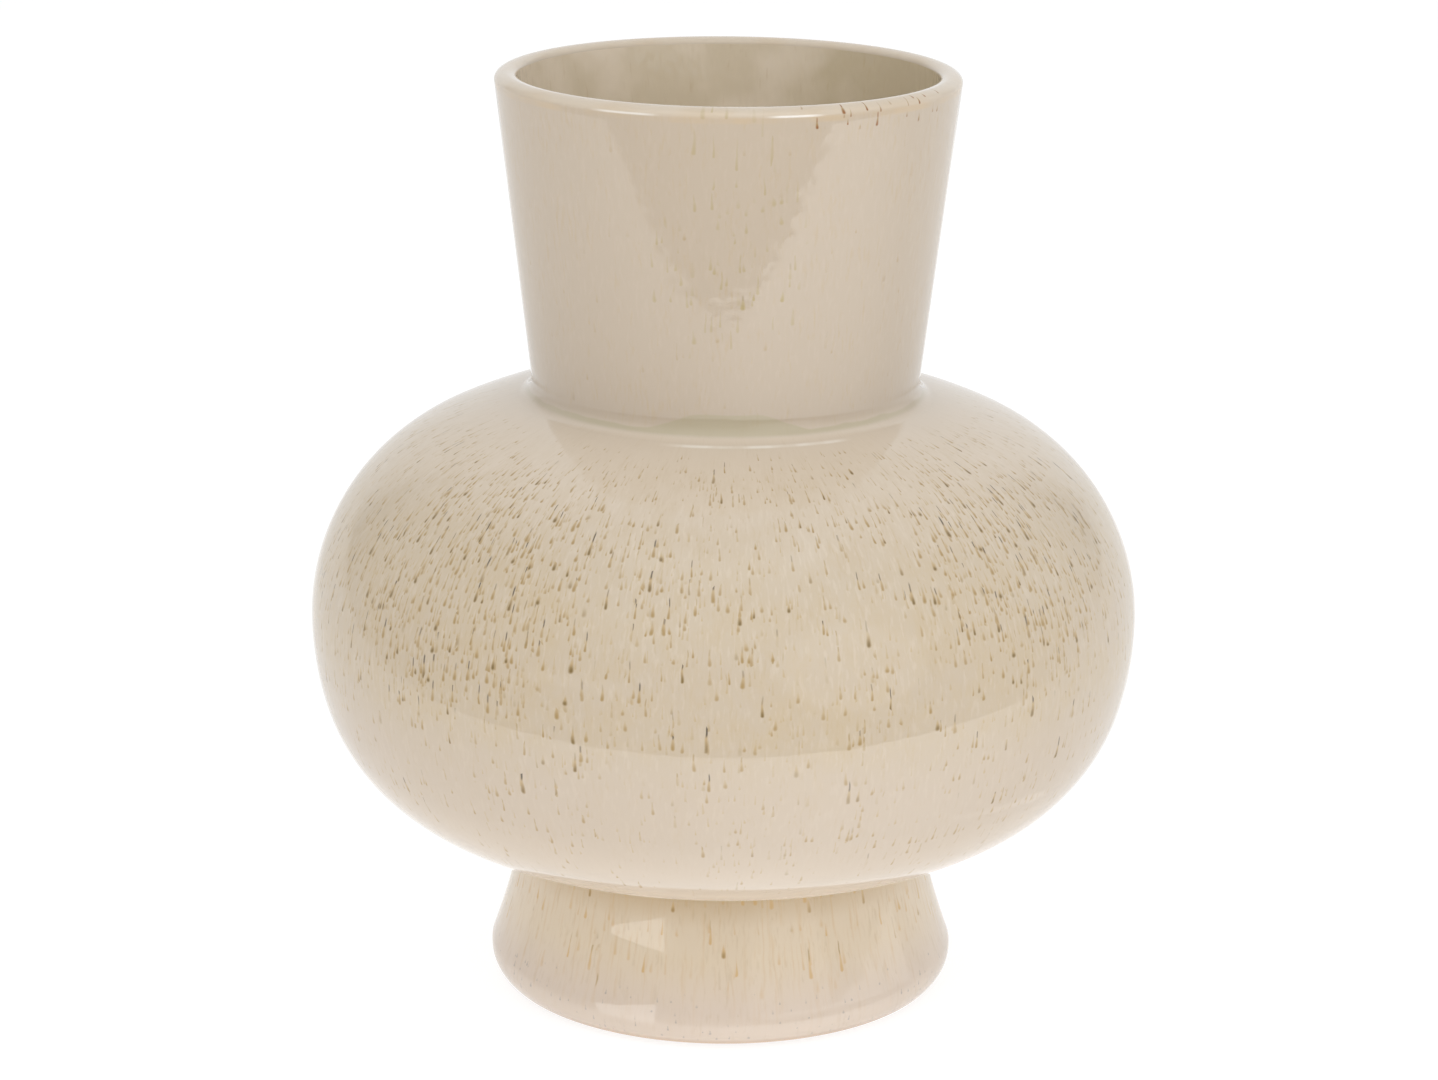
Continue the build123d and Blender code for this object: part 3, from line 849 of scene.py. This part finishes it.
def lay_foot_runs(tree, under, height, wall):
    """Long orange runs on the foot, and fine grey grains in its pink toe over a thin line of clay."""
    colour = lay_runs(tree, under, wall, FOOT_RUNS, by_height(tree, height, FOOT_RUNNY))
    colour = lay_runs(tree, colour, wall, TOE_GRAINS, by_height(tree, height, TOE_GRAINY))
    return mixed(tree, ramp(tree, height, 0.0030, 0.0016, 0.0, 0.8), colour, TOE_CLAY)


def bearing(tree, place):
    """Angle about the pot in radians, from the front towards the right."""
    right, back = parts(tree, place)[:2]
    return calc(tree, "ARCTAN2", right, product(tree, back, -1.0))


def lay_lip(tree, under, place, run):
    """The lip, paler than the neck, with a thin tan line where its round ends, two painted glints on it and a
    painted highlight line along its front.
    """
    colour = mixed(tree, ramp(tree, run, 0.0075, 0.0060), under, LIP_PALE)
    tanned = ramp(tree, soft_noise(tree, place, LIP_PATCH, 3.0), 0.42, 0.66, 0.0, 0.28)
    colour = mixed(tree, product(tree, tanned, ramp(tree, run, 0.0080, 0.0060)), colour, LIP_TAN)
    worn = ramp(tree, soft_noise(tree, place, LIP_WEAR), 0.35, 0.62, 0.10, 0.60)
    colour = mixed(tree, product(tree, near(tree, run, LIP_END, 0.0003, 0.0011), worn), colour, LIP_TAN)
    angle = bearing(tree, place)
    # Painted highlights: two glints at set bearings either side of the front
    left, right = (near_bearing(tree, angle, *glint) for glint in LIP_GLINTS)
    glinting = near(tree, run, LIP_GLINT, 0.00008, 0.00038)
    colour = mixed(tree, product(tree, glinting, calc(tree, "MAXIMUM", left, right), 0.65), colour, GLINT)
    # Painted highlight: a pale line along the lip, at the front only
    front = near_bearing(tree, angle, 0, 60, 85, 0.42)
    return mixed(tree, product(tree, near(tree, run, LIP_HIGHLIGHT_LINE, 0.0002, 0.0009), front), colour, GLINT)


def lay_neck_runs(tree, under, place, wall, run):
    """Olive runs in the middle of the neck and under the lip, and short rust ones over the lip."""
    colour = lay_runs(tree, under, wall, NECK_RUNS, patch(tree, place, *NECK_MIDDLE))
    colour = lay_runs(tree, colour, wall, LIP_STREAKS, patch(tree, place, *UNDER_LIP))
    rusty = product(tree, patch(tree, place, *LIP_RIGHT), ramp(tree, run, 0.0135, 0.0085))
    return lay_runs(tree, colour, wall, LIP_RUST, rusty)


def lay_pool_and_painted_light(tree, under, place, height):
    """The glaze pooled olive in the crease, higher and stronger at the front as a painted reflection of the
    dark room, with a painted highlight line below it.
    """
    angle = bearing(tree, place)
    off = away_from(tree, angle, math.radians(1))
    # Painted reflection: the pool reaches higher at the front, in the shape of the dark room mirrored there
    top = ramp(tree, off, math.radians(8), math.radians(25), POOL_FRONT, POOL_SIDE)
    top = calc(tree, "SUBTRACT", top, POOL_WAVER / 2)
    top = calc(tree, "MULTIPLY_ADD", soft_noise(tree, place, POOL_WAVE), POOL_WAVER, top)
    below_top = ramp(tree, calc(tree, "SUBTRACT", top, height), -0.0002, 0.0003)
    above_foot = ramp(tree, height, POOL_FOOT, POOL_FOOT + 0.0010)
    # Painted reflection: strongest at the front, fainter round the sides
    fading = ramp(tree, off, math.radians(40), math.radians(75), 0.66, 0.35)
    colour = mixed(tree, product(tree, below_top, above_foot, fading), under, POOL_OLIVE_AND_REFLECTION)
    # Painted highlight: a thin broken bright line below the pool, at the front only
    line = near(tree, height, POOL_HIGHLIGHT_LINE, 0.00004, 0.00026)
    front = near_bearing(tree, angle, 9, 18, 27, 1.0)
    broken = ramp(tree, soft_noise(tree, place, LINE_BREAK), 0.30, 0.60, 0.35, 1.0)
    return mixed(tree, product(tree, line, front, broken, 0.50), colour, GLINT)


def speckled_glaze():
    """Cream glaze with ochre clouds and brown speckles that have run down the wall."""
    finish, tree, shader = new_finish("speckled_glaze")
    place, height, wall, run = place_on_pot(tree)
    sway = vector(tree, "SUBTRACT", soft_noise(tree, wall, SWAY_SIZE, 1.0, out=1), (0.5, 0.5, 0.5))
    wall = vector(tree, "ADD", wall, scaled(tree, sway, SWAY))
    colour = ground_colour(tree, place, height, wall)
    colour = lay_threads(tree, colour, height, wall)
    colour = lay_speckles(tree, colour, place, height, wall)
    colour = lay_foot_runs(tree, colour, height, wall)
    colour = lay_lip(tree, colour, place, run)
    colour = lay_neck_runs(tree, colour, place, wall, run)
    colour = lay_pool_and_painted_light(tree, colour, place, height)
    fire_glaze(tree, shader, place, wall, colour, 0.03, 0.06)
    return finish


def liner_glaze():
    """Greige glaze inside the pot, faintly streaked, painted lighter than the glaze outside to make up for
    the shade inside, and painted darker olive at the right as painted shade.
    """
    finish, tree, shader = new_finish("liner_glaze")
    place, _, wall, _ = place_on_pot(tree)
    patches = ramp(tree, soft_noise(tree, place, LINER_PATCH, 3.0), 0.35, 0.65)
    # Painted shade: the inner wall at the right is painted darker olive
    shade_at_right = ramp(tree, parts(tree, place)[0], 0.0, 0.05, 0.0, 1.2)
    olive = calc(tree, "ADD", product(tree, patches, 0.6), shade_at_right)
    colour = mixed(tree, olive, LINER_GREIGE, LINER_OLIVE)
    threads = ramp(tree, soft_noise(tree, drawn_out(tree, wall, THREAD_DRAWN), LINER_THREAD), 0.60, 0.80)
    colour = mixed(tree, product(tree, threads, 0.28), colour, OCHRE_RUN)
    fire_glaze(tree, shader, place, wall, colour, 0.08, 0.7)
    return finish


def base_glaze():
    """Thin cream glaze in the hollow of the foot, with the clay warm behind it."""
    finish, tree, shader = new_finish("base_glaze")
    place, _, wall, _ = place_on_pot(tree)
    patches = ramp(tree, soft_noise(tree, place, BASE_PATCH, 3.0), 0.35, 0.70)
    fire_glaze(tree, shader, place, wall, mixed(tree, patches, FOOT_CREAM, OCHRE_CLOUD), 0.18, 0.3)
    return finish


def fired_clay(name, light, dark, grain):
    """Bare fired clay or slip: sandy, dry and warm."""
    finish, tree, shader = new_finish(name)
    place = step(tree, "ShaderNodeTexCoord", out=3)
    sand = soft_noise(tree, place, grain, 4.0, 0.7)
    stain = ramp(tree, soft_noise(tree, place, CLAY_STAIN), 0.4, 0.7)
    colour = mixed(tree, ramp(tree, sand, 0.35, 0.68), light, dark)
    colour = mixed(tree, product(tree, stain, 0.3), colour, dark)
    feed(tree, shader.inputs["Base Color"], colour)
    feed(tree, shader.inputs["Roughness"], ramp(tree, sand, 0.3, 0.7, 0.72, 0.92))
    bump(tree, shader, sand, 0.6, SAND_BUMP)
    return finish


# ------------------------------------------------------------------ pieces

WALL_TREE = wall_tree()
DRIPS = drips_group()
CLAY = fired_clay("stoneware_clay", CLAY_LIGHT, CLAY_DARK, CLAY_GRAIN)
SLIP = fired_clay("slip", SLIP_LIGHT, SLIP_DARK, SLIP_GRAIN)


def dress(piece, node):
    """Puts a turned piece in the place of its CAD node."""
    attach(piece, "root")
    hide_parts(node)


def make_pieces():
    """The pieces that are seen: the three coats of glaze and the bare foot."""
    outline = coat_outline(outside_path(0.0, FINE), outside_path(GLAZE, COARSE), True)
    coat = turn_wall("outer_glaze_coat", outline, speckled_glaze(), WALL_WOBBLE, 5.0)
    dress(coat, "outer_glaze")
    outline = coat_outline(inside_path(LINER, FINE * 2), inside_path(0.0, COARSE), False)
    liner = turn_wall("liner_glaze_coat", outline, liner_glaze(), WALL_WOBBLE, 9.0)
    dress(liner, "liner_glaze")
    face, back = hollow_path(BASE_GLAZE, FINE * 2)[::-1], hollow_path(0.0, COARSE)[::-1]
    base = turn_wall("base_glaze_coat", coat_outline(face, back, True), base_glaze(), WALL_WOBBLE, 13.0)
    dress(base, "base_glaze")
    path = foot_path(FINE * 2)
    foot = turn_wall("thrown_foot", (path, [0.0] * len(path)), CLAY, 0.0, 17.0)
    dress(foot, "foot")


def dress_cad_nodes():
    """Finishes for the clay and slip that stay as they come from the frame."""
    for entry in frame["record"]["subparts"]:
        node = frame["nodes"][entry["node"]]
        if entry["material_slot"] in ("stoneware_clay", "slip"):
            node.data.materials.clear()
            node.data.materials.append(CLAY if entry["material_slot"] == "stoneware_clay" else SLIP)


make_pieces()
dress_cad_nodes()

# ------------------------------------------------------------------ studio

CAMERA_DISTANCE = 0.9062
CAMERA_HEIGHT = 0.3695
CAMERA_PITCH = 15.99
CAMERA_TURN = 0.08
CAMERA_ROLL = 0.51
LENS = 97.23
SENSOR_WIDTH = 36.0

WHITE = (1.0, 1.0, 1.0, 1.0)
FLOOR_WHITE = (0.90, 0.90, 0.90, 1.0)
FLOOR_REACH = 6.0
FLOOR_GLOW = 1.19
FLOOR_GLOW_SHARE = 0.72
FLOOR_LIFT = 0.42

# Corners of the low cards about the foot: (radius, angle from the front towards the right, height)
WINDOW_CARD = (
    (0.0658, -37.3, 0.0276), (0.0661, -19.0, 0.0316), (0.0680, -18.1, 0.0249), (0.0662, -36.9, 0.0259),
)
TABLE_CARD = (
    (0.066, -36.2, 0.0100), (0.066, -17.9, 0.0134), (0.066, -18.0, 0.0003), (0.066, -34.8, 0.0028),
)
WINDOW_GLOW = 1.9
BAND_RADIUS = 0.118
BAND_START = 24
BAND_END = 84
BAND_STEP = 12
BAND_GLOW = 1.25

# The even light of the world, and what the glaze mirrors: the round table by its middle and the two sides of
# its soft edge, with the drop to it as 1, how the sheet flares, the lamp's direction, and the sine and cosine
# of the window's bearing to the left of the front
WORLD_LIGHT = 0.55
TABLE_MIDDLE = (0.058, 1.603, 0.0)
TABLE_EDGE = (3.656, 3.643)
SHEET_FLARE_HEIGHT = 0.12
SHEET_FLARE = 3.5
TOWARD_LAMP = (0.573, -0.788, 0.225)
WINDOW_SINE = 0.636
WINDOW_COSINE = 0.772

# Soft lamps that face the belly: name, place, power, width and height
LAMPS = (
    ("left_lamp", (-0.75, -0.90, 0.60), 2.2, 0.8, 0.9),
    ("right_lamp", (0.75, -0.90, 0.60), 3.1, 0.8, 0.9),
    ("top_lamp", (0.10, -0.50, 1.15), 4.2, 0.9, 0.9),
    ("back_lamp", (-0.30, 1.10, 0.80), 3.0, 0.9, 0.9),
)
LAMPS_FACE = Vector((0.0, 0.0, 0.11))


def make_camera():
    """The camera, a little above the rim, looking down at the vase."""
    data = bpy.data.cameras.new("camera")
    data.lens = LENS
    data.sensor_width = SENSOR_WIDTH
    camera = in_scene("camera", data)
    aim = Euler((math.radians(90 - CAMERA_PITCH), 0.0, math.radians(CAMERA_TURN))).to_matrix()
    aim = aim @ Matrix.Rotation(math.radians(CAMERA_ROLL), 3, "Z")
    camera.matrix_world = Matrix.Translation((0.0, -CAMERA_DISTANCE, CAMERA_HEIGHT)) @ aim.to_4x4()
    bpy.context.scene.camera = camera


def set_apart(name, corners, faces, material_name):
    """A flat mesh of the studio with a material whose nodes are still to be made."""
    mesh = bpy.data.meshes.new(name)
    mesh.from_pydata(corners, [], faces)
    finish = bpy.data.materials.new(material_name)
    finish.use_nodes = True
    finish.node_tree.nodes.clear()
    mesh.materials.append(finish)
    return in_scene(name, mesh), finish.node_tree


def make_floor():
    """A plain white floor that keeps a soft shadow and lifts a little light under the belly."""
    far = FLOOR_REACH
    corners = [(-far, -far, 0.0), (far, -far, 0.0), (far, far, 0.0), (-far, far, 0.0)]
    floor, tree = set_apart("floor", corners, [(0, 1, 2, 3)], "white_floor")
    rays = tree.nodes.new("ShaderNodeLightPath").outputs
    matt = step(tree, "ShaderNodeBsdfDiffuse", FLOOR_WHITE)
    white = step(tree, "ShaderNodeEmission", WHITE, FLOOR_GLOW)
    seen = step(tree, "ShaderNodeMixShader", FLOOR_GLOW_SHARE, matt, white)
    lifted = step(tree, "ShaderNodeAddShader", matt, step(tree, "ShaderNodeEmission", WHITE, FLOOR_LIFT))
    clear = step(tree, "ShaderNodeBsdfTransparent")
    other = step(tree, "ShaderNodeMixShader", rays["Is Glossy Ray"], lifted, clear)
    surface = step(tree, "ShaderNodeMixShader", rays["Is Camera Ray"], other, seen)
    add_node(tree, "ShaderNodeOutputMaterial", {"Surface": surface})


def around_foot(radius, angle, height):
    """A place about the foot, its angle counted from the front towards the right."""
    turn = math.radians(angle)
    return (radius * math.sin(turn), -radius * math.cos(turn), height)


def glowing_card(name, corners, strength):
    """A small bright card, of four corners a face, that only the glaze before its face mirrors."""
    faces = [tuple(range(i, i + 4)) for i in range(0, len(corners), 4)]
    card, tree = set_apart(name, [around_foot(*corner) for corner in corners], faces, name)
    glow = step(tree, "ShaderNodeEmission", WHITE, strength)
    clear = step(tree, "ShaderNodeBsdfTransparent")
    away = step(tree, "ShaderNodeNewGeometry", out="Backfacing")
    surface = step(tree, "ShaderNodeMixShader", away, glow, clear)
    add_node(tree, "ShaderNodeOutputMaterial", {"Surface": surface})
    card.visible_camera = False
    card.visible_diffuse = False
    card.visible_transmission = False
    card.visible_shadow = False


def make_low_cards():
    """Cards that the foot mirrors: a window at the left, its light on the table, and a band at the right."""
    glowing_card("window_card", WINDOW_CARD, WINDOW_GLOW)
    glowing_card("table_card", TABLE_CARD, WINDOW_GLOW)
    band = []
    for left in range(BAND_START, BAND_END, BAND_STEP):
        right = left + BAND_STEP
        for angle, height in ((left, 0.023), (right, 0.021), (right, 0.010), (left, 0.012)):
            band.append((BAND_RADIUS, angle, height))
    glowing_card("band_card", band, BAND_GLOW)


def mirrored_table(tree, side, back, up):
    """The white table below, brighter at the right than at the left and dimmer far back."""
    down = calc(tree, "MAXIMUM", product(tree, up, -1.0), 0.001)
    across, along = calc(tree, "DIVIDE", side, down), calc(tree, "DIVIDE", back, down)
    spread = step(tree, "ShaderNodeCombineXYZ", across, along)
    from_middle = vector(tree, "DISTANCE", spread, TABLE_MIDDLE, out=1)
    table = product(tree, ramp(tree, from_middle, *TABLE_EDGE), calc(tree, "LESS_THAN", up, 0.0))
    tone = ramp(tree, side, -0.45, 0.35, 0.95, 1.45)
    dimmer = product(tree, ramp(tree, back, -0.40, 0.45, 0.0, 0.52), ramp(tree, side, 0.0, 0.4))
    return product(tree, table, calc(tree, "SUBTRACT", tone, dimmer))


def mirrored_sheet(tree, side, back, up):
    """The white sheet behind, which flares out where it meets the table."""
    ahead = calc(tree, "MAXIMUM", back, 0.001)
    rise = calc(tree, "DIVIDE", up, ahead)
    flare = calc(tree, "MAXIMUM", calc(tree, "SUBTRACT", SHEET_FLARE_HEIGHT, rise), 0.0)
    aside = calc(tree, "DIVIDE", calc(tree, "ABSOLUTE", side), ahead)
    reach = calc(tree, "SUBTRACT", aside, product(tree, flare, SHEET_FLARE))
    sides, top = ramp(tree, reach, 1.30, 0.50), ramp(tree, rise, 1.16, 1.02)
    tone = ramp(tree, side, -0.5, 0.5, 0.91, 0.98)
    return product(tree, sides, top, calc(tree, "GREATER_THAN", back, 0.0), tone)


def mirrored_lights(tree, direction, side, back, up):
    """The dim room in front with its soft lights: a lamp, the ceiling, a window, both sides and the back."""
    off_side = calc(tree, "ABSOLUTE", side)
    lamp = ramp(tree, vector(tree, "DOT_PRODUCT", direction, TOWARD_LAMP, out=1), 0.925, 0.948)
    ceiling = product(
        tree, ramp(tree, up, 0.80, 0.90), ramp(tree, up, 0.985, 0.955), ramp(tree, back, 0.05, -0.10),
        ramp(tree, off_side, 0.42, 0.30),
    )
    toward = calc(tree, "MULTIPLY_ADD", side, -WINDOW_SINE, product(tree, back, -WINDOW_COSINE))
    across = calc(tree, "MULTIPLY_ADD", side, WINDOW_COSINE, product(tree, back, -WINDOW_SINE))
    window = product(
        tree, ramp(tree, calc(tree, "ABSOLUTE", across), 0.30, 0.22), ramp(tree, up, 0.0, 0.04),
        ramp(tree, up, 0.145, 0.10), calc(tree, "GREATER_THAN", toward, 0.0),
    )
    beside = product(
        tree, ramp(tree, off_side, 0.50, 1.0), ramp(tree, up, 0.75, 0.30), ramp(tree, back, -0.80, -0.10)
    )
    behind = ramp(tree, back, -0.20, 0.60)
    room = calc(tree, "ADD", ramp(tree, up, 0.15, 0.80, 0.10, 0.55), ramp(tree, side, -0.9, 0.9, 0.0, 0.15))
    for light, strength in ((lamp, 0.50), (ceiling, 0.35), (window, 0.35), (beside, 0.35), (behind, 0.30)):
        room = calc(tree, "MULTIPLY_ADD", light, strength, room)
    return room


def mirrored_room(tree, direction):
    """What the glaze mirrors: a white table below, a white sheet behind, and a dim room with soft lights."""
    side, back, up = parts(tree, vector(tree, "NORMALIZE", direction))
    table = mirrored_table(tree, side, back, up)
    sheet = mirrored_sheet(tree, side, back, up)
    room = mirrored_lights(tree, direction, side, back, up)
    return calc(tree, "MAXIMUM", calc(tree, "MAXIMUM", table, sheet), room)


def make_world():
    """Soft even light. The camera sees white, and the glaze mirrors a room."""
    world = bpy.data.worlds.new("studio")
    bpy.context.scene.world = world
    world.use_nodes = True
    tree = world.node_tree
    tree.nodes.clear()
    rays = tree.nodes.new("ShaderNodeLightPath").outputs
    tone = mirrored_room(tree, step(tree, "ShaderNodeTexCoord", out=0))
    mirrored = step(tree, "ShaderNodeBackground", step(tree, "ShaderNodeCombineColor", tone, tone, tone), 1.0)
    light = step(tree, "ShaderNodeBackground", WHITE, WORLD_LIGHT)
    white = step(tree, "ShaderNodeBackground", WHITE, 1.0)
    other = step(tree, "ShaderNodeMixShader", rays["Is Glossy Ray"], light, mirrored)
    surface = step(tree, "ShaderNodeMixShader", rays["Is Camera Ray"], other, white)
    add_node(tree, "ShaderNodeOutputWorld", {"Surface": surface})


def soft_light(name, place, power, width, height):
    """A large soft lamp that faces the belly."""
    data = bpy.data.lights.new(name, "AREA")
    data.shape = "RECTANGLE"
    data.size = width
    data.size_y = height
    data.energy = power
    lamp = in_scene(name, data)
    lamp.location = place
    lamp.rotation_euler = (LAMPS_FACE - Vector(place)).to_track_quat("-Z", "Y").to_euler()
    lamp.visible_glossy = False


make_camera()
make_floor()
make_low_cards()
make_world()
for lamp in LAMPS:
    soft_light(*lamp)
bpy.context.scene.view_settings.view_transform = "Standard"

bpy.context.view_layer.update()
